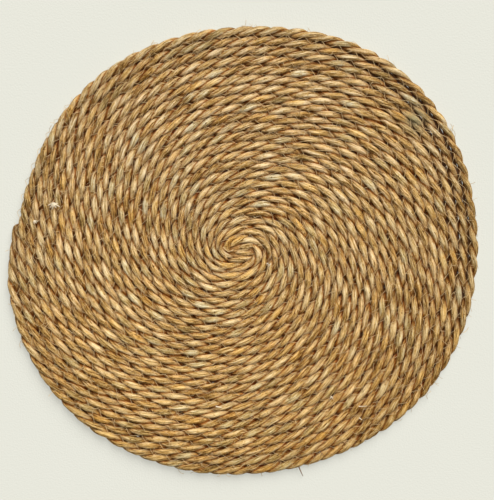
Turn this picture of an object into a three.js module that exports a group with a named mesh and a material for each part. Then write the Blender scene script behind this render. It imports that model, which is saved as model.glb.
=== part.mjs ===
// A round placemat: one two-ply plant-fibre rope, coiled flat from the middle and sewn turn to turn.
// Millimetres, +Z up. Every turn of the underside touches z = 0, and the origin is under the middle of
// the outline. The rope leaves the middle clockwise, seen from above, and ends in a tapered tip at the
// rim. The solid carries the coil's ridges, the lays of the twist on top and the scalloped, uneven rim.
import * as THREE from "three";

// Driving dimensions
const turns = 24; // from the middle to the rope's tip
const pitch = 7.9; // from one turn to the next, which is the rope's width
const thickness = 7.8; // of the rope, and so of the mat
const tipAngle = 173; // degrees from +X, where the rope ends at the rim
const tipLength = 32; // over which the rope's end tapers away
const freeLength = 16; // past the tip, over which the rim comes out of the valley

// How the outline departs from a circle: a number of lobes, their height at the rim, and the direction
// of one of them in degrees. Inner turns have the same lobes in proportion.
const outline = [
  { lobes: 1, height: 6.1, direction: -21 },
  { lobes: 2, height: 4.1, direction: 24 },
  { lobes: 4, height: 2.0, direction: 45 },
  { lobes: 5, height: 0.7, direction: -24 },
];

// The first turns are folded, so the coil's middle is longer along X.
const coreStretch = 4.5;
const coreTurns = 1.2; // where the stretch is greatest

// Twist: one lay is one strand's bump on top of the rope.
const layAtMiddle = 12.6;
const layAtRim = 15;
const layDip = 0.9; // depth of the crease between two lays, at the crest
const crease = 0.36; // how far a crease runs on along the rope from crest to valley, in lays
const leanGrowth = 0.04; // of a turn, by which that may grow with each turn after the first
const scallop = 0.9; // depth of the rim's notches between lays

// Section of one turn, in shares of the pitch across and in millimetres up
const valleyTop = 5.2;
const valleyUnder = 2;
const middleHeight = 3.9;
const contactHalf = 0.2; // half the width of the flat strip that a turn rests on
const shoulder = { across: 0.37, top: 6.5, under: 1.2 }; // of the free side of the last turn
const middleTop = 6.2; // height of the coil's middle point

// Fineness of the faceting
const widestStep = 1 / 9; // of a turn, on top
const widestStepUnder = 1 / 14;
const stepUnder = 25; // along the rope, on the underside
const leastStepUnder = 7.5; // before a line's end
const leastLayShare = 0.2; // of a step between lays, at a line's ends
const firstTurn = { crest: 0.5, valley: 0, strip: 0.1 }; // where each line leaves the middle point
const shoulderSteps = 2; // in each lay
const rimSteps = 4;

const rimRadius = turns * pitch;
const turnLength = (turn) => 2 * Math.PI * pitch * turn;
const tipTurns = tipLength / turnLength(turns);
const freeTurns = freeLength / turnLength(turns);
const angleOf = (turn) => THREE.MathUtils.degToRad(tipAngle) + 2 * Math.PI * (turns - turn);

// The point at a number of rope widths from the middle, in a direction
function spot(widths, angle, height) {
  const lobes = outline.map(({ lobes, height, direction }) =>
    height * Math.cos(lobes * (angle - THREE.MathUtils.degToRad(direction))));
  const unevenness = lobes.reduce((sum, lobe) => sum + lobe, 0) / rimRadius;
  const radius = pitch * widths * (1 + unevenness);
  const along = widths / coreTurns;
  const stretched = radius + coreStretch * along * Math.exp(1 - along);
  return new THREE.Vector3(stretched * Math.cos(angle), radius * Math.sin(angle), height);
}

// A point on the rope at a turn, some widths across from its crest. The tip draws in to the valley.
function onRope(turn, across, height, tipHeight) {
  const left = THREE.MathUtils.clamp((turns - turn) / tipTurns, 0, 1);
  const fullness = Math.sqrt(left);
  const widths = turn - 0.5 + fullness * (0.5 + across);
  return spot(widths, angleOf(turn), THREE.MathUtils.lerp(tipHeight, height, fullness));
}

// Number of lays from the middle up to a turn, and the turn where a lay begins
function laysTo(turn) {
  const growth = (layAtRim - layAtMiddle) / turns;
  const t = Math.max(turn, 0);
  return turnLength(1) / growth ** 2 * (growth * t - layAtMiddle * Math.log1p(growth * t / layAtMiddle));
}
function turnOfLay(lay) {
  let low = 0;
  let high = turns + 1;
  while (high - low > 1e-9) {
    const middle = (low + high) / 2;
    if (laysTo(middle) < lay) low = middle;
    else high = middle;
  }
  return high;
}

// The turns between two ends at which lays, shifted by a share of a lay, begin; each lay is cut in parts.
function layTurns(from, to, shift, parts) {
  const found = [];
  const least = leastLayShare / parts;
  for (let n = 0; ; n++) {
    const lay = n / parts + shift;
    const turn = turnOfLay(lay);
    if (turn >= to || laysTo(to) - lay < least) return found;
    if (turn > from && lay - laysTo(from) >= least) found.push(turn);
  }
}

// Adds turns between neighbours that are further apart than the widest step; the last is left out.
function filled(from, list, to, widest) {
  const all = [from, ...list, to];
  const found = [from];
  for (let i = 1; i < all.length; i++) {
    const parts = Math.ceil((all[i] - all[i - 1]) / widest);
    for (let k = 1; k <= parts; k++) found.push(all[i - 1] + (all[i] - all[i - 1]) * k / parts);
  }
  return found.slice(0, -1);
}

// Turns a set way apart along the rope, and no further apart than the widest step
function evenTurns(from, to) {
  const found = [];
  for (let turn = from; turn < to;) {
    turn += turn > 0 ? Math.min(widestStepUnder, stepUnder / turnLength(turn)) : widestStepUnder;
    if (turn < to - leastStepUnder / turnLength(turns)) found.push(turn);
    else break;
  }
  return found;
}

// How far a crease leans along the rope from crest to valley, in turns
function lean(turn) {
  const grown = leanGrowth * (turn - 1);
  if (grown <= 0) return 0;
  const lay = THREE.MathUtils.lerp(layAtMiddle, layAtRim, turn / turns);
  return Math.min(grown, crease * lay / turnLength(turn));
}
const own = (turn) => turn;

const points = [];
const triangles = [];
const addPoint = (point) => points.push(point) - 1;

// A line is a list of { turn, index }, from the middle out.
function line(start, from, list, place, end) {
  return [
    { turn: from, index: start },
    ...list.map((turn) => ({ turn, index: addPoint(place(turn)) })),
    ...end,
  ];
}

// Joins two neighbouring lines by triangles. A key says which points of the two lie side by side.
function join(inner, outer, innerKey, outerKey, facesUp) {
  let i = 0;
  let j = 0;
  const add = (a, b, c) => {
    if (a !== b && b !== c && c !== a) triangles.push(facesUp ? [a, b, c] : [a, c, b]);
  };
  while (i < inner.length - 1 || j < outer.length - 1) {
    const nextInner = i < inner.length - 1 ? innerKey(inner[i + 1].turn) : Infinity;
    const nextOuter = j < outer.length - 1 ? outerKey(outer[j + 1].turn) : Infinity;
    if (nextInner <= nextOuter) {
      add(inner[i].index, inner[i + 1].index, outer[j].index);
      i += 1;
    } else {
      add(inner[i].index, outer[j + 1].index, outer[j].index);
      j += 1;
    }
  }
}

// The edge where the tip ends in the valley beside the turn before it
const tipTop = addPoint(spot(turns - 0.5, angleOf(turns), valleyTop));
const tipMiddle = addPoint(spot(turns - 0.5, angleOf(turns), middleHeight));
const tipUnder = addPoint(spot(turns - 0.5, angleOf(turns), valleyUnder));
const lastTurn = turns - 1;
const tipParts = [turns - tipTurns, turns - tipTurns / 2]; // where the underside's lines have a point

// How far the free side has come out of the valley, just past the tip
const freed = (turn) => Math.min(1, (turn - lastTurn) / freeTurns);
function onFreeSide(turn, across, height, valleyHeight) {
  const share = freed(turn);
  return onRope(turn, THREE.MathUtils.lerp(0.5, across, share),
    THREE.MathUtils.lerp(valleyHeight, height, share), valleyHeight);
}

// Top: the crest with its lays, the valley between turns, and the upper shoulder of the last turn
const bump = (turn) => Math.abs(Math.sin(Math.PI * laysTo(turn)));
const middleTopPoint = addPoint(new THREE.Vector3(0, 0, middleTop));
const crest = line(middleTopPoint, 0,
  filled(firstTurn.crest, layTurns(firstTurn.crest, turns, 0, 2), turns, widestStep),
  (turn) => onRope(turn, 0, thickness - layDip * (1 - bump(turn)), valleyTop),
  [{ turn: turns, index: tipTop }]);
const topValley = line(middleTopPoint, -0.5,
  filled(firstTurn.valley, layTurns(firstTurn.valley, lastTurn, crease, 1), lastTurn, widestStep),
  (turn) => spot(turn + 0.5, angleOf(turn), valleyTop),
  [{ turn: lastTurn, index: tipTop }]);
const upperShoulder = line(tipTop, lastTurn, layTurns(lastTurn, turns, crease, shoulderSteps),
  (turn) => onFreeSide(turn, shoulder.across, shoulder.top, valleyTop),
  [{ turn: turns, index: tipTop }]);
join(topValley, crest, (turn) => turn + 1 + lean(turn + 1), own, true);
join(crest, [...topValley, ...upperShoulder.slice(1)], own, (turn) => turn - lean(turn), true);

// Rim: the last turn's free side, notched between its lays
const notch = (turn) => 1 - Math.abs(Math.sin(Math.PI * (laysTo(turn) - crease)));
const rim = line(tipMiddle, lastTurn, layTurns(lastTurn, turns, crease, rimSteps),
  (turn) => onFreeSide(turn, 0.5 - scallop / pitch * notch(turn), middleHeight, middleHeight),
  [{ turn: turns, index: tipMiddle }]);
const lowerShoulder = line(tipUnder, lastTurn,
  [...layTurns(lastTurn, tipParts[0], crease, 1), ...tipParts],
  (turn) => onFreeSide(turn, shoulder.across, shoulder.under, valleyUnder),
  [{ turn: turns, index: tipUnder }]);
join(upperShoulder, rim, own, own, true);
join(rim, lowerShoulder, own, own, true);

// Underside: a flat strip under each turn, and the valleys between
const middleUnderPoint = addPoint(new THREE.Vector3(0, 0, 0));
const underLine = (across) => line(middleUnderPoint, -across,
  [...evenTurns(Math.max(firstTurn.strip, -across), turns - tipTurns), ...tipParts],
  (turn) => onRope(turn, across, 0, valleyUnder),
  [{ turn: turns, index: tipUnder }]);
const stripInner = underLine(-contactHalf);
const stripOuter = underLine(contactHalf);
const underValley = line(middleUnderPoint, -0.5, evenTurns(-0.5, lastTurn),
  (turn) => spot(turn + 0.5, angleOf(turn), valleyUnder),
  [{ turn: lastTurn, index: tipUnder }]);
join(underValley, stripInner, (turn) => turn + 1, own, false);
join(stripInner, stripOuter, own, own, false);
join(stripOuter, [...underValley, ...lowerShoulder.slice(1)], own, own, false);

const geometry = new THREE.BufferGeometry().setFromPoints(points).setIndex(triangles.flat());
geometry.computeBoundingBox();
const middle = geometry.boundingBox.getCenter(new THREE.Vector3());
geometry.translate(-middle.x, -middle.y, 0);
geometry.computeVertexNormals();

const rope = new THREE.MeshStandardMaterial({ color: 0xb08a52, roughness: 0.75, metalness: 0 });
const mat = new THREE.Mesh(geometry, rope);
mat.name = "mat";

const placemat = new THREE.Group();
placemat.add(mat);

export default placemat;
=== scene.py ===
"""Round placemat of one coiled, sewn jute rope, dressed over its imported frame."""

import math

import bmesh
import bpy
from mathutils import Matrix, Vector


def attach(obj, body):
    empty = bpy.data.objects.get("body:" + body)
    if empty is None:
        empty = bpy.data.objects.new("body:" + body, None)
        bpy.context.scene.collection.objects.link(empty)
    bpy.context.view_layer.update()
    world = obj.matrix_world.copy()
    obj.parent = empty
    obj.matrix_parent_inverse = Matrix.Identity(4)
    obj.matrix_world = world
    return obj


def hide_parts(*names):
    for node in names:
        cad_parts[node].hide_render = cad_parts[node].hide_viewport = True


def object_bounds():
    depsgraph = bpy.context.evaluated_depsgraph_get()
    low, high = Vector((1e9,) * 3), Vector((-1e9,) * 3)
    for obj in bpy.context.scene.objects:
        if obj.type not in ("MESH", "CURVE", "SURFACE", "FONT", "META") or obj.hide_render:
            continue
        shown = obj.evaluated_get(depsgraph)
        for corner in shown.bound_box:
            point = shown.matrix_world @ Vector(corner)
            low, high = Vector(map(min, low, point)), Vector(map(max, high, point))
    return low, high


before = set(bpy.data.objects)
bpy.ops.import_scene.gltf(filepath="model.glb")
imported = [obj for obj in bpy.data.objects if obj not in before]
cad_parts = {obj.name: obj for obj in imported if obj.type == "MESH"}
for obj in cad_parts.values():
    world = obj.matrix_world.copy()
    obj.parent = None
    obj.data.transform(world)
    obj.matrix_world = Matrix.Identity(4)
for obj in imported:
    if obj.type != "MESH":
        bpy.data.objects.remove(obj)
cad_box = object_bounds()

FULL_TURN = 2 * math.pi

# Coil, in metres. Its turns, pitch, tip angle, core and lobes are those of the part's source. Its
# middle is off the origin, because the origin is the middle of the outline's box.
TURNS = 24
PITCH = 0.0079
THICKNESS = cad_box[1][2] - cad_box[0][2]
TIP_ANGLE = math.radians(173)
CORE_STRETCH = 0.0045
CORE_TURNS = 1.2
COIL_MIDDLE = (-0.00324, 0.00445)
LOBES = (
    (1, 0.0061, math.radians(-21)),
    (2, 0.0041, math.radians(24)),
    (4, 0.0020, math.radians(45)),
    (5, 0.0007, math.radians(-24)),
)

# The rope's two ends: it grows to full width over the taper, and narrows before its blunt tip
START_TURN = 0.78
START_TAPER = 0.007
TIP_LENGTH = 0.045
TIP_NARROW = 0.016
TIP_WIDTH = 0.56
TIP_BLUNT = 0.0025
END_TUCK = 0.03
END_RINGS = 3

# Rows that lie slack at the right rim
SLACK_ANGLE = math.radians(28)
SLACK_SPREAD = 0.36
SLACK_FROM_TURN = 20.9
SLACK_NARROWING = 0.22

# Rope: two strands laid round each other
LAY_AT_MIDDLE = 0.0126
LAY_AT_RIM = 0.01503
STRAND_OFFSET = 0.00165
STRAND_HALF_DEPTH = 0.00228
STRAND_HALF_WIDTH = 0.00258
STRAND_SPREAD_BELOW = 0.0010
STRAND_LENS = -0.20
STRAND_STRAIGHTNESS = 0.40
ARCSINE_RANGE = 0.999
STRAND_PLUMPNESS = -0.08
ROW_SQUEEZE = 1.15
LAY_FACE_STEEPNESS = 1.6
FREE_SIDE_FROM = 0.0025
RING_STEP = 0.0015
RING_SIDES = 14
SPLIT_TURN = 17.0
MERGE_DISTANCE = 1e-6
SEED = 7

# How the rope departs from an even one: by how much, and in how many waves to the metre
STRAND_UNEVENNESS = 0.32
STRAND_WAVES = 55.0
LAY_SHIFT = 0.32
LAY_SHIFT_WAVES = 18.0
LAY_DRIFT = 1.3
LAY_DRIFT_WAVES = 3.5
BUNDLE_RELIEF = 0.00030
BUNDLE_WAVES = 620.0
BUNDLE_STRETCH = 0.13
ROW_WANDER = 0.00055
ROW_WANDER_WAVES = 16.0
LAY_WANDER = 0.00060
LAY_WANDER_WAVES = 75.0
LAY_RISE = 0.00045
LAY_RISE_WAVES = 60.0

# Lines far apart in the noise, so that one unevenness doesn't follow another
DRIFT_LINE = 20.0
ROW_WANDER_LINE = 40.0
LAY_WANDER_LINE = 60.0
RISE_LINE = 80.0
STRAND_LINES = 3.0
BUNDLE_LINES = 5.0
THREAD_LINE = 3.0
LAYS_OF_ONE_STRAND = 5000.0

# Fibres in a strand turn back against its twist
COUNTER_TWIST = 0.85
FIBRE_RING = 0.0024
STRANDS_APART = 0.4

# Sewing thread in the valleys
THREAD_FROM_TURN = 0.9
THREAD_TO_TURN = 23.1
THREAD_STEP = 0.0016
THREAD_RADIUS = 0.00018
THREAD_SIDES = 4
THREAD_REACH = 0.0026
THREAD_HEIGHT = 0.0071
THREAD_LIFT = 0.0014
THREAD_LAY = 0.0137
THREAD_DIP = 0.001
THREAD_LOOSENESS = 0.4
THREAD_WAVES = 90.0
THREAD_LEAST = 0.03
STITCH_UNEVENNESS = 0.3
STITCH_WAVES = 30.0

# Dark filler along the bottom of the valleys: painted shade, which also closes the gaps between rows
VALLEY_FROM_TURN = 0.45
VALLEY_TO_TURN = 23.0
VALLEY_STEP = 0.0030
VALLEY_HEIGHT = 0.0022
VALLEY_RADIUS = 0.0013
VALLEY_SIDES = 6
VALLEY_OPENING = 4.0

# Loose fibres
FIBRE_DENSITY = 24000.0
FIBRE_LENGTH = 0.0045
FIBRE_CURL = 0.0012
FIBRE_LIFT = 0.0007
FIBRE_ROOT_DEPTH = 0.0002
FIBRE_RADIUS = 0.00011
FIBRE_SHORTEST = 0.4
FIBRE_LONGEST = 1.9
FIBRE_SIDES = 3
FIBRE_STEPS = 5
FIBRE_FACING = 0.30
FIBRE_LOWEST = 0.0003
FIBRE_HIGHEST = 0.0108

# Lays at the coil's start, nine above and three below, from its middle in metres:
# x, y, height, length, half width, half depth, turned, bend, tint, hue
START_LAYS = (
    (0.0020, -0.0010, 0.0040, 0.0270, 0.0070, 0.0023, 4, 0.0, 0.25, 0.5),
    (0.0063, 0.0032, 0.0055, 0.0168, 0.0025, 0.0022, 16, 0.0006, 0.60, 0.3),
    (0.0035, 0.0003, 0.0050, 0.0170, 0.0013, 0.0020, 8, 0.0003, 0.40, 0.3),
    (0.0043, -0.0026, 0.0054, 0.0190, 0.0020, 0.0021, -3, 0.0008, 0.65, 0.3),
    (0.0012, -0.0066, 0.0054, 0.0220, 0.0024, 0.0022, 8, -0.0006, 0.62, 0.3),
    (-0.0003, 0.0078, 0.0057, 0.0200, 0.0027, 0.0023, 31, 0.0006, 0.50, 0.98),
    (0.0086, 0.0070, 0.0051, 0.0120, 0.0020, 0.0022, -10, 0.0016, -0.50, 0.5),
    (0.0146, -0.0026, 0.0052, 0.0125, 0.0019, 0.0022, -78, 0.0006, 0.60, 0.5),
    (-0.0115, -0.0030, 0.0052, 0.0130, 0.0020, 0.0022, -65, 0.0, 0.55, 0.5),
    (0.0020, -0.0058, 0.0026, 0.0200, 0.0028, 0.0023, 6, -0.0006, 0.50, 0.3),
    (0.0022, -0.0008, 0.0026, 0.0240, 0.0028, 0.0023, 10, 0.0, 0.62, 0.5),
    (0.0020, 0.0042, 0.0026, 0.0200, 0.0028, 0.0023, 14, 0.0006, 0.45, 0.3),
)
START_RINGS = 21
START_FULLNESS = 0.7
START_RELIEF = 0.22
START_WAVES = 700.0
START_FIBRE_LENGTH = 0.01
START_FIBRE_RING = 0.002
START_LAYS_APART = 90.0
START_TIP_DROP = 0.0012
START_CREASE = 0.0012

# Frayed ends and stray fibres: x, y, height, then the far end's x, y, height, thickness at the root
PALE_ENDS = (
    (-0.1528, 0.0440, 0.0084, -0.1573, 0.0422, 0.0092, 0.00072),
    (-0.1528, 0.0440, 0.0084, -0.1556, 0.0402, 0.0096, 0.00080),
    (-0.1528, 0.0440, 0.0084, -0.1535, 0.0390, 0.0094, 0.00087),
    (-0.1528, 0.0440, 0.0084, -0.1508, 0.0402, 0.0097, 0.00087),
    (-0.1528, 0.0440, 0.0084, -0.1476, 0.0410, 0.0090, 0.00080),
    (-0.1528, 0.0440, 0.0084, -0.1494, 0.0436, 0.0086, 0.00065),
    (-0.1690, 0.0296, 0.0080, -0.1668, 0.0276, 0.0086, 0.00065),
    (-0.1690, 0.0296, 0.0080, -0.1655, 0.0292, 0.0084, 0.00058),
    (-0.1690, 0.0296, 0.0080, -0.1686, 0.0268, 0.0084, 0.00058),
    (0.0198, -0.0052, 0.0082, 0.0222, -0.0072, 0.0080, 0.00052),
    (0.0230, -0.0058, 0.0080, 0.0206, -0.0082, 0.0082, 0.00052),
    (0.0735, -0.1168, 0.0082, 0.0752, -0.1196, 0.0086, 0.00060),
    (0.0735, -0.1168, 0.0082, 0.0722, -0.1192, 0.0086, 0.00055),
    (0.0962, -0.1255, 0.0080, 0.1028, -0.1250, 0.0086, 0.00050),
    (0.0968, -0.1352, 0.0080, 0.0992, -0.1370, 0.0086, 0.00055),
    (-0.0220, -0.1255, 0.0082, -0.0170, -0.1262, 0.0086, 0.00070),
)
STRAW_ENDS = (
    (-0.0158, 0.0080, 0.0084, -0.0117, 0.0040, 0.0082, 0.00055),
    (-0.0072, 0.0056, 0.0080, -0.0117, 0.0040, 0.0084, 0.00061),
)
BROWN_ENDS = (
    (0.0452, -0.1735, 0.0046, 0.0509, -0.1877, 0.0016, 0.00062),
    (0.0406, -0.1742, 0.0040, 0.0400, -0.1802, 0.0018, 0.00046),
    (0.0647, -0.1640, 0.0078, 0.0700, -0.1700, 0.0068, 0.00030),
    (0.0620, -0.1660, 0.0078, 0.0590, -0.1712, 0.0060, 0.00028),
    (0.0660, -0.1660, 0.0080, 0.0640, -0.1718, 0.0062, 0.00030),
)
END_SIDES = 6
END_STEPS = 5
END_ARCH = 0.12
END_TAPER = 0.65

# Colours of the rope, from deep in a split to the palest fibres, each at its place in the ramp
ROPE_SHADES = (
    (0.08, (0.085, 0.027, 0.004)),
    (0.38, (0.390, 0.206, 0.047)),
    (0.62, (0.655, 0.420, 0.148)),
    (0.95, (0.88, 0.71, 0.42)),
)

# Washes over them: some lays are greenish grey, gold or rose, and the rope is darker at the rim and on
# the right;
# painted shade darkens the pockets between rows and the creases between lays
GREEN_GREY = (0.95, 1.05, 1.18)
GREEN_GREY_UNDER = 0.14
GREEN_GREY_FROM_ROW = 1.6
GOLD = (1.06, 0.97, 0.76)
GOLD_OVER = 0.93
ROSE_TAN = (1.02, 0.97, 0.93)
ROSE_TAN_BETWEEN = (0.40, 0.58)
# Darker over the last rows at the rim and towards the right side
RIM_DARKENING = (0.84, 0.83, 0.80)
RIM_FROM_ROW = 19.0
RIM_GROWTH = 0.25
RIGHT_SIDE_FROM = 0.06
RIGHT_SIDE_GROWTH = 7.0
RIGHT_SIDE_STRENGTH = 0.55
# Painted shade in the pockets between rows: the rope darkens towards its middle height
POCKET_PAINTED_SHADE = (0.34, 0.155, 0.042)
POCKET_DEPTH = 0.0037
FREE_SIDE_SPARED = 0.8
# Painted shade in the creases between lays, near where the two strands meet
CREASE_PAINTED_SHADE = (0.58, 0.355, 0.155)
CREASE_DEPTH = 0.0010
WARM_SIDE = (0.985, 0.935, 0.83)
COOL_SIDE = (0.99, 1.00, 1.06)
SIDE_GROWTH = 8.0

# One greenish patch at the upper right
GREEN_SPOT = (0.36, 0.35, 0.20)
GREEN_SPOT_STRENGTH = 0.7
GREEN_SPOT_PATCHES = 0.8
GREEN_SPOT_PLACE = (0.1383, 0.1109)
GREEN_SPOT_SPREAD = 0.0080

# Grain of the rope: waves to the metre along a strand and across it, octaves and roughness
STREAKS = (90.0, 800.0, 3.0, 0.65)
FIBRES = (300.0, 3200.0, 2.0, 0.6)
PATCHES = (60.0, 200.0, 2.0, 0.5)
SPLITS = (28.0, 430.0, 2.0, 0.5)
FRECKLES = (420.0, 900.0, 2.0, 0.6)
SPLIT_WIDTH = 0.07
FRECKLES_FROM = 0.22

# How much each of them counts in the rope's shade
MIDDLE_SHADE = 0.675
STREAK_SHADE = 0.54
FIBRE_SHADE = 0.62
PATCH_SHADE = 0.32
LAY_SHADE = 0.26
FRECKLE_SHADE = 2.7
SPLIT_SHADE = 0.34

# And in its bump and its roughness
ROPE_BUMP = 0.0008
STREAK_BUMP = 0.7
FIBRE_BUMP = 0.35
SPLIT_BUMP = 0.9
ROPE_ROUGHNESS = 0.62
FIBRE_ROUGHNESS = 0.10
ROPE_SPECULAR = 0.12

# Thin fibre
THREAD_STRAW = (0.74, 0.52, 0.25)
# Painted shade: the near-black brown of the valley filler
VALLEY_PAINTED_SHADE = (0.110, 0.040, 0.007)
FIBRE_STRAW = (0.76, 0.54, 0.26)
END_PALE = (0.91, 0.78, 0.56)
END_STRAW = (0.66, 0.46, 0.21)
END_BROWN = (0.24, 0.11, 0.045)
THIN_DARKENING = 0.55
THIN_DARK_AT = 0.2
THIN_PALE_AT = 0.8
THIN_PATCHES = 0.7
THIN_WAVES = 260.0
THIN_ROUGHNESS = 0.75
THIN_ROUGHNESS_CHANGE = 0.1
THIN_BUMP = 0.0001
THIN_BUMP_WAVES = 2600.0

# Floor
FLOOR_SIZE = 6.0
FLOOR_GAP = 0.0002
FLOOR_COLOUR = (0.286, 0.289, 0.260)
FLOOR_GLOW = (0.422, 0.422, 0.379)
FLOOR_GLOW_CHANGE = 0.012
FLOOR_WAVES = 9.0
FLOOR_ROUGHNESS = 0.9
FLOOR_ROUGHNESS_CHANGE = 0.05
FLOOR_BUMP = 0.0001
FLOOR_BUMP_WAVES = 700.0

# Lights: name, where it stands, spread in degrees, strength and colour
LIGHTS = (
    ("window", (0.34, 0.93, 0.80), 46.0, 4.5, (1.0, 0.985, 0.96)),
    ("ceiling", (0.02, 0.14, 1.0), 12.0, 0.95, (1.0, 1.0, 1.0)),
)
ROOM_COLOUR = (1.0, 0.90, 0.76)
ROOM_STRENGTH = 0.11

# Camera
CAMERA_DISTANCE = 1.1487
CAMERA_TILT = math.radians(9)
CAMERA_LENS = 102.6
CAMERA_SENSOR = 36.0
CAMERA_SHIFT = (0.0172, 0.001)
CAMERA_SEES = (0.05, 20.0)
SIGHT_HEIGHT = 0.004


class Number:
    """A number that nodes work out, so that a formula reads like one."""

    def __init__(self, tree, socket):
        self.tree = tree
        self.socket = socket

    def work(self, operation, *others):
        node = self.tree.nodes.new("ShaderNodeMath")
        node.operation = operation
        for place, value in enumerate((self, *others)):
            plug(self.tree, value, node.inputs[place])
        return Number(self.tree, node.outputs[0])

    def __add__(self, other):
        return self.work("ADD", other)

    def __sub__(self, other):
        return self.work("SUBTRACT", other)

    def __rsub__(self, other):
        return self.work("MULTIPLY_ADD", -1.0, other)

    def __mul__(self, other):
        return self.work("MULTIPLY", other)

    def __truediv__(self, other):
        return self.work("DIVIDE", other)

    def __pow__(self, other):
        return self.work("POWER", other)

    def __neg__(self):
        return self.work("MULTIPLY", -1.0)


def plug(tree, value, socket):
    """Gives a socket a worked-out number, another socket's value or a plain value."""
    if isinstance(value, Number):
        tree.links.new(value.socket, socket)
    elif isinstance(value, bpy.types.NodeSocket):
        tree.links.new(value, socket)
    else:
        socket.default_value = value


def sine(number):
    return number.work("SINE")


def cosine(number):
    return number.work("COSINE")


def root(number):
    return number.work("SQRT")


def whole(number):
    return number.work("FLOOR")


def unsigned(number):
    return number.work("ABSOLUTE")


def less(number, limit):
    """1 where the number is under the limit, and 0 elsewhere."""
    return number.work("LESS_THAN", limit)


def more(number, limit):
    """1 where the number is over the limit, and 0 elsewhere."""
    return number.work("GREATER_THAN", limit)


def lowest(number, other):
    return number.work("MINIMUM", other)


def highest(number, other):
    return number.work("MAXIMUM", other)


def share(number):
    """The number, kept between 0 and 1."""
    return lowest(highest(number, 0.0), 1.0)


def hump(number, middle, spread):
    """1 at the middle, falling away to 0 on both sides over the spread."""
    away = (number - middle) / spread
    return (away * away * -1.0).work("EXPONENT")


def vector(tree, x, y, z):
    node = tree.nodes.new("ShaderNodeCombineXYZ")
    for place, value in enumerate((x, y, z)):
        plug(tree, value, node.inputs[place])
    return node.outputs[0]


def parts_of(tree, place):
    """A place's X, Y and Z."""
    node = tree.nodes.new("ShaderNodeSeparateXYZ")
    tree.links.new(place, node.inputs[0])
    return [Number(tree, node.outputs[way]) for way in range(3)]


def noise(tree, place, waves, octaves=1.0, rough=0.5):
    """Smooth noise of about -1 to 1."""
    node = tree.nodes.new("ShaderNodeTexNoise")
    tree.links.new(place, node.inputs["Vector"])
    node.inputs["Scale"].default_value = waves
    node.inputs["Detail"].default_value = octaves
    node.inputs["Roughness"].default_value = rough
    return Number(tree, node.outputs[0]) * 2.0 - 1.0


def random_number(tree, seed, low=0.0, high=1.0, each=None):
    """A random number for each point, or for each value of another number."""
    node = tree.nodes.new("FunctionNodeRandomValue")
    node.data_type = "FLOAT"
    plug(tree, low, node.inputs[2])
    plug(tree, high, node.inputs[3])
    plug(tree, seed, node.inputs["Seed"])
    if each is not None:
        plug(tree, each, node.inputs["ID"])
    return node.outputs[1]


def new_tree(name, inputs, grows_on=False):
    """A geometry tree with named number inputs and one mesh out."""
    tree = bpy.data.node_groups.new(name, "GeometryNodeTree")
    tree.interface.new_socket("Geometry", in_out="OUTPUT", socket_type="NodeSocketGeometry")
    if grows_on:
        tree.interface.new_socket("Surface", in_out="INPUT", socket_type="NodeSocketGeometry")
    for label, value in inputs.items():
        kind = "NodeSocketInt" if isinstance(value, int) else "NodeSocketFloat"
        socket = tree.interface.new_socket(label, in_out="INPUT", socket_type=kind)
        socket.default_value = value
    given = tree.nodes.new("NodeGroupInput")
    sizes = {label: Number(tree, given.outputs[label]) for label in inputs}
    if grows_on:
        sizes["Surface"] = given.outputs["Surface"]
    return tree, sizes


def index_of_points(tree):
    return Number(tree, tree.nodes.new("GeometryNodeInputIndex").outputs[0])


def rings_of_points(tree, sizes):
    """A grid whose rows are rings, with each point's ring and its place in the ring."""
    grid = tree.nodes.new("GeometryNodeMeshGrid")
    row_length = sizes["Ring sides"] + 1.0
    plug(tree, sizes["Rings"], grid.inputs["Vertices X"])
    plug(tree, row_length, grid.inputs["Vertices Y"])
    index = index_of_points(tree)
    ring = whole((index + 0.5) / row_length)
    return grid.outputs["Mesh"], ring, index - ring * row_length


def moved_to(tree, mesh, place):
    """The mesh with each of its points at a place."""
    node = tree.nodes.new("GeometryNodeSetPosition")
    tree.links.new(mesh, node.inputs["Geometry"])
    tree.links.new(place, node.inputs["Position"])
    return node.outputs["Geometry"]


def tube(tree, curve, sides, radius):
    """Sweeps a round section along a curve, with closed ends."""
    section = tree.nodes.new("GeometryNodeCurvePrimitiveCircle")
    plug(tree, sides, section.inputs["Resolution"])
    plug(tree, radius, section.inputs["Radius"])
    swept = tree.nodes.new("GeometryNodeCurveToMesh")
    swept.inputs["Fill Caps"].default_value = True
    tree.links.new(curve, swept.inputs["Curve"])
    tree.links.new(section.outputs[0], swept.inputs["Profile Curve"])
    return swept.outputs[0]


def keep_values(tree, mesh, strand_place, **numbers):
    """Keeps what the rope's finish reads: a place in the strand's grain, and some numbers."""
    kept = {"strand_place": strand_place, **numbers}
    for name, value in kept.items():
        node = tree.nodes.new("GeometryNodeStoreNamedAttribute")
        node.data_type = "FLOAT_VECTOR" if name == "strand_place" else "FLOAT"
        node.domain = "POINT"
        node.inputs["Name"].default_value = name
        tree.links.new(mesh, node.inputs["Geometry"])
        plug(tree, value, node.inputs["Value"])
        mesh = node.outputs["Geometry"]
    return mesh


def close_and_finish(tree, mesh, finish):
    """Joins the seam, smooths, realizes and gives the finish."""
    merged = tree.nodes.new("GeometryNodeMergeByDistance")
    merged.inputs["Distance"].default_value = MERGE_DISTANCE
    smooth = tree.nodes.new("GeometryNodeSetShadeSmooth")
    real = tree.nodes.new("GeometryNodeRealizeInstances")
    painted = tree.nodes.new("GeometryNodeSetMaterial")
    painted.inputs["Material"].default_value = finish
    out = tree.nodes.new("NodeGroupOutput")
    for node in (merged, smooth, real, painted):
        tree.links.new(mesh, node.inputs["Geometry"])
        mesh = node.outputs["Geometry"]
    tree.links.new(mesh, out.inputs[0])


def in_scene(name, data):
    """A new object in the scene, at the origin and unturned."""
    item = bpy.data.objects.new(name, data)
    bpy.context.scene.collection.objects.link(item)
    return item


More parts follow.
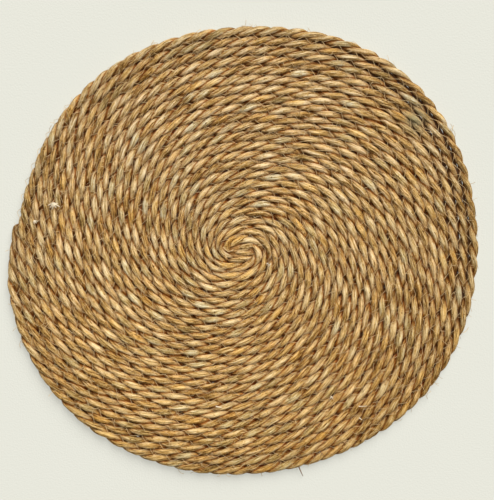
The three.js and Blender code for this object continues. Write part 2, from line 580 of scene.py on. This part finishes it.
def grown_piece(name, tree, finish, surface=None, **values):
    """Runs a tree with its values and keeps the result as a plain mesh."""
    seed_mesh = bpy.data.meshes.new(name + "_start") if surface is None else surface.copy()
    holder = in_scene(name + "_start", seed_mesh)
    grower = holder.modifiers.new("grow", "NODES")
    grower.node_group = tree
    inputs = [item for item in tree.interface.items_tree if item.in_out == "INPUT"]
    sockets = {item.name: item.identifier for item in inputs}
    for label, value in values.items():
        grower[sockets[label.replace("_", " ")]] = value
    bpy.context.view_layer.update()
    evaluated = holder.evaluated_get(bpy.context.evaluated_depsgraph_get())
    mesh = bpy.data.meshes.new_from_object(evaluated)
    mesh.name = name
    bpy.data.objects.remove(holder)
    bpy.data.meshes.remove(seed_mesh)
    if not mesh.materials:
        mesh.materials.append(finish)
    return dressed(in_scene(name, mesh))


def dressed(piece):
    """The piece rides on the mat and stands for its plain solid."""
    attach(piece, "root")
    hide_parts("mat")
    return piece


def coil_unevenness(tree, angle):
    """How far the outline departs from a circle in a direction, in shares of its radius."""
    total = 0.0
    for lobes, height, direction in LOBES:
        total = cosine((angle - direction) * float(lobes)) * height + total
    return total / (TURNS * PITCH)


def coil_spot(tree, sizes, widths, angle, height):
    """The point that lies a number of rope widths from the coil's middle."""
    along = widths / CORE_TURNS
    radius = widths * sizes["Pitch"] * (coil_unevenness(tree, angle) + 1.0)
    pull = along * (1.0 - along).work("EXPONENT") * CORE_STRETCH
    x = (radius + pull) * cosine(angle) + COIL_MIDDLE[0]
    y = radius * sine(angle) + COIL_MIDDLE[1]
    return vector(tree, x, y, height)


def along_coil(sizes, steps, step):
    """The rope's length, turn and direction after a number of steps from the first turn."""
    first_length = sizes["From turn"] * sizes["From turn"] * sizes["Pitch"] * math.pi
    length = first_length + steps * step
    turn = root(length / (sizes["Pitch"] * math.pi))
    angle = (sizes["Turns"] - turn) * FULL_TURN + TIP_ANGLE
    return length, turn, angle


def rope_length(first_turn, last_turn):
    """Length of rope from one turn to another."""
    return math.pi * PITCH * (last_turn**2 - first_turn**2)


def lays_to(sizes, turn):
    """How many lays the rope has made up to a turn."""
    growth = (sizes["Lay at rim"] - sizes["Lay at middle"]) / sizes["Turns"]
    stretch = growth * turn / sizes["Lay at middle"]
    logarithm = (stretch + 1.0).work("LOGARITHM", math.e)
    first_length = sizes["Pitch"] * FULL_TURN
    return first_length / (growth * growth) * (growth * turn - sizes["Lay at middle"] * logarithm)


def row_slack(turn, angle):
    """0 where rows are pressed together, up to 1 where the last rows lie slack."""
    place = hump(unsigned(sine((angle - SLACK_ANGLE) * 0.5)), 0.0, SLACK_SPREAD)
    return place * share(turn - SLACK_FROM_TURN)


ROPE_INPUTS = {
    "Turns": float(TURNS),
    "Pitch": PITCH,
    "Thickness": THICKNESS,
    "Lay at middle": LAY_AT_MIDDLE,
    "Lay at rim": LAY_AT_RIM,
    "Strand offset": STRAND_OFFSET,
    "Strand half depth": STRAND_HALF_DEPTH,
    "Strand half width": STRAND_HALF_WIDTH,
    "Spread below": STRAND_SPREAD_BELOW,
    "Strand": 0.0,
    "From turn": START_TURN,
    "Rings": 100,
    "Ring sides": RING_SIDES,
    "Ring step": RING_STEP,
    "Seed": float(SEED),
}


def strand_ends(sizes, ring):
    """Each ring's step along the strand, and how open it is: a strand's ends are closed off."""
    last = sizes["Rings"] - 1.0
    step = lowest(highest(ring, 1.0), last - 1.0) - 1.0
    closed = more(less(ring, 0.5) + more(ring, last - 0.5), 0.5)
    tucked = more(less(step, 0.5) + more(step, last - 2.5), 0.5)
    return step, (1.0 - closed) * (1.0 - tucked * END_TUCK)


def tip_fullness(sizes, turn):
    """The rope narrows near its end, and ends bluntly."""
    to_tip = (sizes["Turns"] - turn) * (FULL_TURN * TURNS * PITCH)
    blunt = root(share(to_tip / TIP_BLUNT))
    grown = share((to_tip - TIP_NARROW) / (TIP_LENGTH - TIP_NARROW))
    return blunt * (grown * (1.0 - TIP_WIDTH) + TIP_WIDTH)


def uneven(tree, length, line, waves):
    """Noise along the rope, on a line of its own."""
    return noise(tree, vector(tree, length, line + SEED, 0.0), waves)


def twist(tree, sizes, length, turn, along_strand):
    """The strand's way round the rope: a lay is half a turn."""
    shift = noise(tree, along_strand, LAY_SHIFT_WAVES) * LAY_SHIFT
    drift = uneven(tree, length, DRIFT_LINE, LAY_DRIFT_WAVES) * LAY_DRIFT
    return (lays_to(sizes, turn) + sizes["Strand"] + shift + drift) * math.pi


def strand_section(tree, sizes, around, phase, slack, along_strand, bundle_place):
    """How far a point lies outwards and sideways from the strand's middle."""
    plump = (unsigned(sine(phase)) - 0.5) * STRAND_PLUMPNESS
    swell = noise(tree, along_strand, STRAND_WAVES, 2.0) * STRAND_UNEVENNESS + 1.0
    depth = sizes["Strand half depth"] * swell
    lens = 1.0 - sine(around) * sine(around) * STRAND_LENS
    below = root(highest(-sine(phase), 0.0))
    width = sizes["Strand half width"] + sizes["Spread below"] * below * (1.0 - slack)
    width = width * swell * (plump + 1.0)
    relief = noise(tree, bundle_place, BUNDLE_WAVES, 1.0) * BUNDLE_RELIEF / depth + 1.0
    return cosine(around) * depth * lens * relief, sine(around) * width * relief


def strand_swing(sizes, phase, outwards, sideways):
    """Where a point of the strand lies across and above the rope's middle line."""
    swing = cosine(phase) * (1.0 - STRAND_STRAIGHTNESS)
    in_range = cosine(phase) * ARCSINE_RANGE
    straight = in_range.work("ARCSINE") * (STRAND_STRAIGHTNESS * 2 / math.pi)
    beside = sideways * sine(phase) - outwards * cosine(phase)
    across = beside - sizes["Strand offset"] * (swing + straight)
    up = (sizes["Strand offset"] + outwards) * sine(phase) + sideways * cosine(phase)
    return across, up


def rope_tree(finish):
    """One strand of the coiled rope, from a turn on, for a number of rings."""
    tree, sizes = new_tree("coiled_strand", ROPE_INPUTS)
    rings, ring, side = rings_of_points(tree, sizes)
    step, openness = strand_ends(sizes, ring)
    length, turn, angle = along_coil(sizes, step, sizes["Ring step"])
    tip = tip_fullness(sizes, turn)
    start = root(share((length - rope_length(0.0, START_TURN)) / START_TAPER))
    fullness = tip * start * openness

    along_strand = vector(tree, length, sizes["Strand"] * STRAND_LINES + sizes["Seed"], 0.0)
    phase = twist(tree, sizes, length, turn, along_strand)
    around = side / sizes["Ring sides"] * FULL_TURN
    fibre_turn = around + phase * COUNTER_TWIST
    fibre_x = cosine(fibre_turn) * FIBRE_RING
    fibre_y = sine(fibre_turn) * FIBRE_RING
    bundle_line = length * BUNDLE_STRETCH + sizes["Strand"] * BUNDLE_LINES + sizes["Seed"]
    bundle_place = vector(tree, bundle_line, fibre_x, fibre_y)
    slack = row_slack(turn, angle)
    outwards, sideways = strand_section(
        tree, sizes, around, phase, slack, along_strand, bundle_place
    )
    across, up = strand_swing(sizes, phase, outwards, sideways)
    across = across * fullness
    up = up * fullness

    wander = uneven(tree, length, ROW_WANDER_LINE, ROW_WANDER_WAVES) * ROW_WANDER
    wander = wander + uneven(tree, length, LAY_WANDER_LINE, LAY_WANDER_WAVES) * LAY_WANDER
    rise = uneven(tree, length, RISE_LINE, LAY_RISE_WAVES) * LAY_RISE
    squeeze = ROW_SQUEEZE - slack * SLACK_NARROWING
    widths = turn + (tip - 1.0) * 0.5 + (across * squeeze + wander) / sizes["Pitch"]
    height = highest(up + sizes["Thickness"] * 0.5 + rise, 0.0)
    mesh = moved_to(tree, rings, coil_spot(tree, sizes, widths, angle, height))

    lay = whole(phase / math.pi) + sizes["Strand"] * LAYS_OF_ONE_STRAND
    mesh = keep_values(
        tree,
        mesh,
        strand_place=vector(tree, length + sizes["Strand"] * STRANDS_APART, fibre_x, fibre_y),
        lay_tint=random_number(tree, SEED, each=lay),
        lay_hue=random_number(tree, SEED + 1, each=lay),
        lay_face=lowest(unsigned(sine(phase)) * LAY_FACE_STEEPNESS, 1.0),
        row=turn,
        from_crease=sizes["Strand offset"] + outwards,
        free_side=more(turn, TURNS - 1.0) * share(across / FREE_SIDE_FROM),
    )
    close_and_finish(tree, mesh, finish)
    return tree


def rope():
    """The start's lays, and both strands, each in an inner and an outer length."""
    finish = jute_rope()
    tree = rope_tree(finish)
    start_of_coil(finish)
    lengths = (("inner", START_TURN, SPLIT_TURN), ("outer", SPLIT_TURN, float(TURNS)))
    made = []
    for strand in (0, 1):
        for part, first, last in lengths:
            name = f"rope_strand_{strand + 1}_{part}"
            rings = int(round(rope_length(first, last) / RING_STEP)) + END_RINGS
            sizes = {"Strand": float(strand), "From_turn": first, "Rings": rings}
            made.append(grown_piece(name, tree, finish, **sizes))
    return made


START_INPUTS = {
    "X": 0.0,
    "Y": 0.0,
    "Height": 0.005,
    "Length": 0.015,
    "Half width": 0.0024,
    "Half depth": 0.0024,
    "Turned": 0.0,
    "Bend": 0.0,
    "Tint": 0.5,
    "Hue": 0.5,
    "Rings": START_RINGS,
    "Ring sides": RING_SIDES,
}


def start_lay_tree(finish):
    """One lay of the coil's start: a leaf-shaped lump with pointed ends."""
    tree, sizes = new_tree("start_lay", START_INPUTS)
    rings, ring, side = rings_of_points(tree, sizes)
    along = ring / (sizes["Rings"] - 1.0) * 2.0 - 1.0
    around = side / sizes["Ring sides"] * FULL_TURN
    fullness = highest(1.0 - along * along, 0.0) ** START_FULLNESS
    grain = vector(
        tree,
        along * START_FIBRE_LENGTH + sizes["X"] * START_LAYS_APART,
        cosine(around) * START_FIBRE_RING,
        sine(around) * START_FIBRE_RING,
    )
    relief = noise(tree, grain, START_WAVES, 1.0) * START_RELIEF + 1.0
    beside = sine(around) * sizes["Half width"] * fullness * relief
    beside = beside + sizes["Bend"] * (1.0 - along * along)
    up = cosine(around) * sizes["Half depth"] * fullness * relief
    ahead = along * sizes["Length"] * 0.5
    x = ahead * cosine(sizes["Turned"]) - beside * sine(sizes["Turned"])
    y = ahead * sine(sizes["Turned"]) + beside * cosine(sizes["Turned"])
    x = x + sizes["X"] + COIL_MIDDLE[0]
    y = y + sizes["Y"] + COIL_MIDDLE[1]
    height = highest(up + sizes["Height"] - along * along * START_TIP_DROP, 0.0)
    mesh = moved_to(tree, rings, vector(tree, x, y, height))
    outwards = more(sizes["Height"], THICKNESS / 2) * 2.0 - 1.0
    mesh = keep_values(
        tree,
        mesh,
        strand_place=vector(tree, ahead + sizes["X"] * START_LAYS_APART, up, beside),
        lay_tint=sizes["Tint"],
        lay_hue=sizes["Hue"],
        lay_face=1.0,
        row=0.0,
        from_crease=up * outwards + START_CREASE,
        free_side=0.0,
    )
    close_and_finish(tree, mesh, finish)
    return tree


def start_of_coil(finish):
    """The folded lays at the middle, on both faces."""
    tree = start_lay_tree(finish)
    labels = ("X", "Y", "Height", "Length", "Half_width", "Half_depth", "Turned", "Bend", "Tint", "Hue")
    for count, lay in enumerate(START_LAYS):
        sizes = dict(zip(labels, lay))
        sizes["Turned"] = math.radians(sizes["Turned"])
        grown_piece(f"start_lay_{count + 1}", tree, finish, **sizes)


THREAD_INPUTS = {
    "Turns": float(TURNS),
    "Pitch": PITCH,
    "Points": 100,
    "From turn": THREAD_FROM_TURN,
    "Point step": THREAD_STEP,
    "Stitch length": THREAD_LAY,
    "Reach": THREAD_REACH,
    "Height": THREAD_HEIGHT,
    "Lift": THREAD_LIFT,
    "Radius": THREAD_RADIUS,
    "Sides": THREAD_SIDES,
    "Opening": 0.0,
    "Seed": float(SEED),
}


def thread_tree(finish):
    """A thread that zigzags from row to row along the valley between them."""
    tree, sizes = new_tree("sewing_thread", THREAD_INPUTS)
    line = tree.nodes.new("GeometryNodeMeshLine")
    plug(tree, sizes["Points"], line.inputs["Count"])
    length, turn, angle = along_coil(sizes, index_of_points(tree), sizes["Point step"])
    along = vector(tree, length, sizes["Seed"], THREAD_LINE)
    stitch = length / sizes["Stitch length"] + noise(tree, along, STITCH_WAVES) * STITCH_UNEVENNESS
    zigzag = unsigned((stitch - whole(stitch)) * 2.0 - 1.0) * 2.0 - 1.0
    loose = noise(tree, along, THREAD_WAVES, 2.0)
    aside = zigzag * sizes["Reach"] * (loose * THREAD_LOOSENESS + 1.0)
    dip = zigzag * zigzag
    height = sizes["Height"] + loose * sizes["Lift"] - dip * dip * THREAD_DIP
    place = coil_spot(tree, sizes, turn + 0.5 + aside / sizes["Pitch"], angle, height)
    curve = tree.nodes.new("GeometryNodeMeshToCurve")
    tree.links.new(moved_to(tree, line.outputs[0], place), curve.inputs[0])
    thick = tree.nodes.new("GeometryNodeSetCurveRadius")
    tree.links.new(curve.outputs[0], thick.inputs["Curve"])
    left = highest(1.0 - row_slack(turn + 0.5, angle) * sizes["Opening"], THREAD_LEAST)
    plug(tree, left, thick.inputs["Radius"])
    close_and_finish(tree, tube(tree, thick.outputs[0], sizes["Sides"], sizes["Radius"]), finish)
    return tree


def sewing():
    """The thread that sews each turn to the one before."""
    finish = thin_fibre("sewing_thread", THREAD_STRAW)
    points = int(rope_length(THREAD_FROM_TURN, THREAD_TO_TURN) / THREAD_STEP)
    grown_piece("sewing_thread", thread_tree(finish), finish, Points=points)


def valley_shade_filler():
    """A dark filler along the bottom of the valley between rows: painted shade, thinned where the rows
    lie slack.
    """
    finish = thin_fibre("painted_valley_shade", VALLEY_PAINTED_SHADE)
    grown_piece(
        "valley_shade_filler",
        thread_tree(finish),
        finish,
        Points=int(rope_length(VALLEY_FROM_TURN, VALLEY_TO_TURN) / VALLEY_STEP),
        From_turn=VALLEY_FROM_TURN,
        Point_step=VALLEY_STEP,
        Reach=0.0,
        Height=VALLEY_HEIGHT,
        Lift=0.0,
        Radius=VALLEY_RADIUS,
        Sides=VALLEY_SIDES,
        Opening=VALLEY_OPENING,
    )


FIBRE_INPUTS = {
    "Density": FIBRE_DENSITY,
    "Length": FIBRE_LENGTH,
    "Curl": FIBRE_CURL,
    "Lift": FIBRE_LIFT,
    "Radius": FIBRE_RADIUS,
    "Shortest": FIBRE_SHORTEST,
    "Longest": FIBRE_LONGEST,
    "Seed": SEED,
}


def one_fibre(tree, sizes):
    """A thin curled fibre with its root a little under the surface."""
    arc = tree.nodes.new("GeometryNodeCurveQuadraticBezier")
    arc.inputs["Resolution"].default_value = FIBRE_STEPS
    arc.inputs["Start"].default_value = (0.0, 0.0, -FIBRE_ROOT_DEPTH)
    plug(tree, vector(tree, sizes["Length"] * 0.5, 0.0, sizes["Lift"] * 2.0), arc.inputs["Middle"])
    plug(tree, vector(tree, sizes["Length"], sizes["Curl"], 0.0), arc.inputs["End"])
    return tube(tree, arc.outputs[0], FIBRE_SIDES, sizes["Radius"])


def fibre_tree(finish):
    """Short loose fibres on the upper side of a strand, each turned and sized at random."""
    tree, sizes = new_tree("loose_fibres", FIBRE_INPUTS, grows_on=True)
    facing = parts_of(tree, tree.nodes.new("GeometryNodeInputNormal").outputs[0])
    scatter = tree.nodes.new("GeometryNodeDistributePointsOnFaces")
    tree.links.new(sizes["Surface"], scatter.inputs["Mesh"])
    plug(tree, more(facing[2], FIBRE_FACING), scatter.inputs["Selection"])
    plug(tree, sizes["Density"], scatter.inputs["Density"])
    plug(tree, sizes["Seed"], scatter.inputs["Seed"])
    turned = tree.nodes.new("FunctionNodeRotateEuler")
    turned.rotation_type = "AXIS_ANGLE"
    turned.space = "LOCAL"
    turned.inputs["Axis"].default_value = (0.0, 0.0, 1.0)
    tree.links.new(scatter.outputs["Rotation"], turned.inputs[0])
    plug(tree, random_number(tree, sizes["Seed"], 0.0, FULL_TURN), turned.inputs["Angle"])
    size = random_number(tree, sizes["Seed"] + 1.0, sizes["Shortest"], sizes["Longest"])
    placed = tree.nodes.new("GeometryNodeInstanceOnPoints")
    tree.links.new(scatter.outputs["Points"], placed.inputs["Points"])
    tree.links.new(one_fibre(tree, sizes), placed.inputs["Instance"])
    tree.links.new(turned.outputs[0], placed.inputs["Rotation"])
    tree.links.new(size, placed.inputs["Scale"])
    real = tree.nodes.new("GeometryNodeRealizeInstances")
    tree.links.new(placed.outputs[0], real.inputs[0])
    x, y, height = parts_of(tree, tree.nodes.new("GeometryNodeInputPosition").outputs[0])
    kept = lowest(highest(height, FIBRE_LOWEST), FIBRE_HIGHEST)
    mesh = moved_to(tree, real.outputs[0], vector(tree, x, y, kept))
    close_and_finish(tree, mesh, finish)
    return tree


def fuzz(strands):
    """Loose fibres on each length of strand."""
    finish = thin_fibre("loose_fibre", FIBRE_STRAW)
    tree = fibre_tree(finish)
    for count, strand in enumerate(strands):
        grown_piece(f"loose_fibres_{count + 1}", tree, finish, strand.data, Seed=SEED + count)


def add_end(shape, root_end, far_end, thickness):
    """Adds one arched, tapered fibre with closed ends."""
    way = far_end - root_end
    ahead = way.normalized()
    side = ahead.cross(Vector((0.0, 0.0, 1.0))).normalized()
    rise = side.cross(ahead)
    rings = []
    for step in range(END_STEPS):
        along = step / (END_STEPS - 1)
        arch = math.sin(math.pi * along) * way.length * END_ARCH
        middle = root_end.lerp(far_end, along) + rise * arch
        radius = thickness * (1.0 - END_TAPER * along)
        ring = []
        for corner in range(END_SIDES):
            turn = FULL_TURN * corner / END_SIDES
            off = side * math.cos(turn) + rise * math.sin(turn)
            ring.append(shape.verts.new(middle + off * radius))
        rings.append(ring)
    for near, far in zip(rings, rings[1:]):
        for corner in range(END_SIDES):
            after = (corner + 1) % END_SIDES
            shape.faces.new((near[corner], near[after], far[after], far[corner]))
    shape.faces.new(list(reversed(rings[0])))
    shape.faces.new(rings[-1])


def frayed_ends(name, finish, ends):
    """Short fibres, each from its root to its point."""
    shape = bmesh.new()
    for end in ends:
        add_end(shape, Vector(end[:3]), Vector(end[3:6]), end[6])
    bmesh.ops.recalc_face_normals(shape, faces=shape.faces)
    mesh = bpy.data.meshes.new(name)
    shape.to_mesh(mesh)
    shape.free()
    mesh.materials.append(finish)
    dressed(in_scene(name, mesh))


def shader(name):
    """A new material with its node tree and its surface."""
    finish = bpy.data.materials.new(name)
    finish.use_nodes = True
    tree = finish.node_tree
    return finish, tree, tree.nodes["Principled BSDF"]


def kept_value(tree, name, output="Fac"):
    """A value that the rope's or a lay's tree has kept on the mesh."""
    node = tree.nodes.new("ShaderNodeAttribute")
    node.attribute_name = name
    return node.outputs[output]


def object_place(tree):
    return tree.nodes.new("ShaderNodeTexCoord").outputs["Object"]


def grain(tree, place, along, across, octaves, rough):
    """Noise drawn out along the strands."""
    node = tree.nodes.new("ShaderNodeMapping")
    node.inputs["Scale"].default_value = (along, across, across)
    tree.links.new(place, node.inputs["Vector"])
    return noise(tree, node.outputs[0], 1.0, octaves, rough)


def colour_mix(tree, amount, first, second, blend="MIX"):
    """An amount, from 0 to 1, of a second colour mixed into the first."""
    node = tree.nodes.new("ShaderNodeMix")
    node.data_type = "RGBA"
    node.blend_type = blend
    plug(tree, amount, node.inputs[0])
    plug(tree, first, node.inputs[6])
    plug(tree, (*second, 1.0), node.inputs[7])
    return node.outputs[2]


def ramp(tree, amount, stops):
    """Colours along a ramp, each at its place from 0 to 1."""
    node = tree.nodes.new("ShaderNodeValToRGB")
    plug(tree, amount, node.inputs[0])
    while len(node.color_ramp.elements) < len(stops):
        node.color_ramp.elements.new(0.5)
    for element, (place, colour) in zip(node.color_ramp.elements, stops):
        element.position = place
        element.color = (*colour, 1.0)
    return node.outputs[0]


def bumped(tree, skin, height, distance):
    """Gives the surface a relief, whose height of 1 stands for a distance."""
    bump = tree.nodes.new("ShaderNodeBump")
    bump.inputs["Distance"].default_value = distance
    bump.inputs["Strength"].default_value = 1.0
    plug(tree, height, bump.inputs["Height"])
    tree.links.new(bump.outputs[0], skin.inputs["Normal"])


def rope_washes(tree, east, north, height):
    """How much each wash takes of the rope's colour."""
    hue = Number(tree, kept_value(tree, "lay_hue"))
    row = Number(tree, kept_value(tree, "row"))
    face = Number(tree, kept_value(tree, "lay_face"))
    from_crease = Number(tree, kept_value(tree, "from_crease"))
    free_side = Number(tree, kept_value(tree, "free_side"))
    rose_from, rose_to = ROSE_TAN_BETWEEN
    crest = lowest(unsigned(height - THICKNESS / 2) / POCKET_DEPTH, 1.0)
    return (
        (less(hue, GREEN_GREY_UNDER) * more(row, GREEN_GREY_FROM_ROW) * face, GREEN_GREY),
        (more(hue, GOLD_OVER) * face, GOLD),
        (more(hue, rose_from) * less(hue, rose_to) * face, ROSE_TAN),
        (share((row - RIM_FROM_ROW) * RIM_GROWTH), RIM_DARKENING),
        (share((east - RIGHT_SIDE_FROM) * RIGHT_SIDE_GROWTH) * RIGHT_SIDE_STRENGTH, RIM_DARKENING),
        # Painted shade: darker towards the rope's middle height, in the pockets between rows, less on
        # the last row's free outer side
        ((1.0 - crest) * (1.0 - free_side * FREE_SIDE_SPARED), POCKET_PAINTED_SHADE),
        # Painted shade in the creases between lays
        (1.0 - share(from_crease / CREASE_DEPTH), CREASE_PAINTED_SHADE),
        (share(north * -SIDE_GROWTH), WARM_SIDE),
        (share(north * SIDE_GROWTH), COOL_SIDE),
    )


def jute_rope():
    """Golden jute: streaks along the strands, and lays that each have their own shade."""
    finish, tree, skin = shader("jute_rope")
    place = kept_value(tree, "strand_place", "Vector")
    tint = Number(tree, kept_value(tree, "lay_tint"))
    face = Number(tree, kept_value(tree, "lay_face"))
    east, north, height = parts_of(tree, object_place(tree))
    streaks = grain(tree, place, *STREAKS)
    fibres = grain(tree, place, *FIBRES)
    patches = grain(tree, place, *PATCHES)
    split = highest(1.0 - unsigned(grain(tree, place, *SPLITS)) / SPLIT_WIDTH, 0.0)
    freckles = highest(grain(tree, place, *FRECKLES) - FRECKLES_FROM, 0.0)
    shade = streaks * STREAK_SHADE + fibres * FIBRE_SHADE + patches * PATCH_SHADE
    shade = shade + (tint - 0.5) * face * LAY_SHADE + MIDDLE_SHADE
    shade = shade - freckles * FRECKLE_SHADE - split * SPLIT_SHADE
    colour = ramp(tree, shade, ROPE_SHADES)
    for amount, wash in rope_washes(tree, east, north, height):
        colour = colour_mix(tree, amount, colour, wash, "MULTIPLY")
    green = hump(east, GREEN_SPOT_PLACE[0], GREEN_SPOT_SPREAD)
    green = green * hump(north, GREEN_SPOT_PLACE[1], GREEN_SPOT_SPREAD) * GREEN_SPOT_STRENGTH
    colour = colour_mix(tree, green * (patches * GREEN_SPOT_PATCHES + 1.0), colour, GREEN_SPOT)
    tree.links.new(colour, skin.inputs["Base Color"])
    plug(tree, fibres * FIBRE_ROUGHNESS + ROPE_ROUGHNESS, skin.inputs["Roughness"])
    skin.inputs["Specular IOR Level"].default_value = ROPE_SPECULAR
    relief = streaks * STREAK_BUMP + fibres * FIBRE_BUMP - split * SPLIT_BUMP
    bumped(tree, skin, relief, ROPE_BUMP)
    return finish


def thin_fibre(name, colour):
    """Thin fibre, a little darker and lighter along its length."""
    finish, tree, skin = shader(name)
    place = object_place(tree)
    change = noise(tree, place, THIN_WAVES, 2.0)
    darker = tuple(part * THIN_DARKENING for part in colour)
    shades = ((THIN_DARK_AT, darker), (THIN_PALE_AT, colour))
    toned = ramp(tree, change * THIN_PATCHES + 0.5, shades)
    tree.links.new(toned, skin.inputs["Base Color"])
    plug(tree, change * THIN_ROUGHNESS_CHANGE + THIN_ROUGHNESS, skin.inputs["Roughness"])
    bumped(tree, skin, noise(tree, place, THIN_BUMP_WAVES), THIN_BUMP)
    return finish


def floor():
    """A plain pale floor that gives a little light of its own, so that shadows are soft."""
    mesh = bpy.data.meshes.new("floor")
    half = FLOOR_SIZE / 2
    corners = [(-half, -half), (half, -half), (half, half), (-half, half)]
    mesh.from_pydata([(x, y, -FLOOR_GAP) for x, y in corners], [], [(0, 1, 2, 3)])
    finish, tree, skin = shader("pale_floor")
    skin.inputs["Base Color"].default_value = (*FLOOR_COLOUR, 1.0)
    skin.inputs["Emission Color"].default_value = (*FLOOR_GLOW, 1.0)
    place = object_place(tree)
    patches = noise(tree, place, FLOOR_WAVES, 2.0)
    plug(tree, patches * FLOOR_GLOW_CHANGE + 1.0, skin.inputs["Emission Strength"])
    plug(tree, patches * FLOOR_ROUGHNESS_CHANGE + FLOOR_ROUGHNESS, skin.inputs["Roughness"])
    bumped(tree, skin, noise(tree, place, FLOOR_BUMP_WAVES), FLOOR_BUMP)
    mesh.materials.append(finish)
    in_scene("floor", mesh)


def studio():
    """Soft light from the top right and from above, over an even room light."""
    scene = bpy.context.scene
    scene.view_settings.view_transform = "Standard"
    world = bpy.data.worlds.new("room_light")
    scene.world = world
    world.use_nodes = True
    room = world.node_tree.nodes["Background"]
    room.inputs["Color"].default_value = (*ROOM_COLOUR, 1.0)
    room.inputs["Strength"].default_value = ROOM_STRENGTH
    for name, towards, spread, strength, colour in LIGHTS:
        data = bpy.data.lights.new(name, "SUN")
        data.angle = math.radians(spread)
        data.energy = strength
        data.color = colour
        lamp = in_scene(name, data)
        lamp.rotation_euler = (-Vector(towards)).to_track_quat("-Z", "Y").to_euler()


def camera():
    """Looks down at the mat from a little to its far side, as the photograph does."""
    data = bpy.data.cameras.new("camera")
    data.sensor_fit = "HORIZONTAL"
    data.sensor_width = CAMERA_SENSOR
    data.lens = CAMERA_LENS
    data.shift_x, data.shift_y = CAMERA_SHIFT
    data.clip_start, data.clip_end = CAMERA_SEES
    eye = in_scene("camera", data)
    eye.location = (
        COIL_MIDDLE[0],
        COIL_MIDDLE[1] + CAMERA_DISTANCE * math.sin(CAMERA_TILT),
        SIGHT_HEIGHT + CAMERA_DISTANCE * math.cos(CAMERA_TILT),
    )
    eye.rotation_euler = (-CAMERA_TILT, 0.0, 0.0)
    bpy.context.scene.camera = eye


camera()
floor()
studio()
strands = rope()
sewing()
valley_shade_filler()
fuzz(strands)
frayed_ends("frayed_pale_ends", thin_fibre("frayed_end", END_PALE), PALE_ENDS)
frayed_ends("frayed_straw_ends", thin_fibre("straw_fibre", END_STRAW), STRAW_ENDS)
frayed_ends("frayed_brown_ends", thin_fibre("brown_fibre", END_BROWN), BROWN_ENDS)
